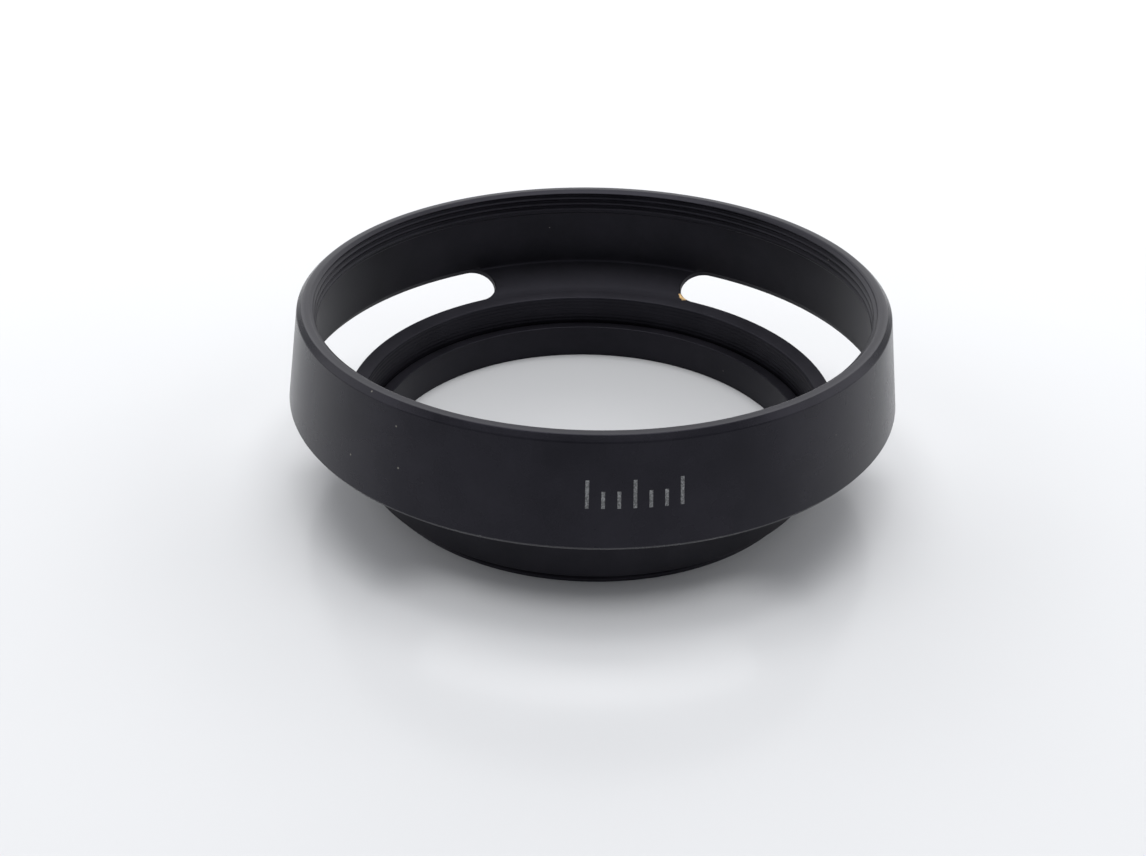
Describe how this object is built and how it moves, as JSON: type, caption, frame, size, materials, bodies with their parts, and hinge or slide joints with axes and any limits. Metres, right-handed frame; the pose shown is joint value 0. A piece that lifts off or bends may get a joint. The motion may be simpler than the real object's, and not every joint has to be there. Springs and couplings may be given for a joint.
{
  "type": "vented screw-in lens hood",
  "caption": "Round black metal lens hood: a vented bell with a filter thread inside its rim and a threaded mount ring in its neck.",
  "frame": {"origin": "centre of the lower end of the lens thread, which is the bottom of the part", "axes": "+Z along the optical axis, from the lens towards the subject; one vent is centred on -Y"},
  "size_m": [0.0688, 0.0688, 0.0215],
  "materials": {
    "shell_black": "satin black anodised, fine turning lines",
    "ring_black": "satin black anodised, smoother bore"
  },
  "bodies": {
    "root": {"hood_shell": "shell_black", "mount_ring": "ring_black"}
  },
  "joints": []
}
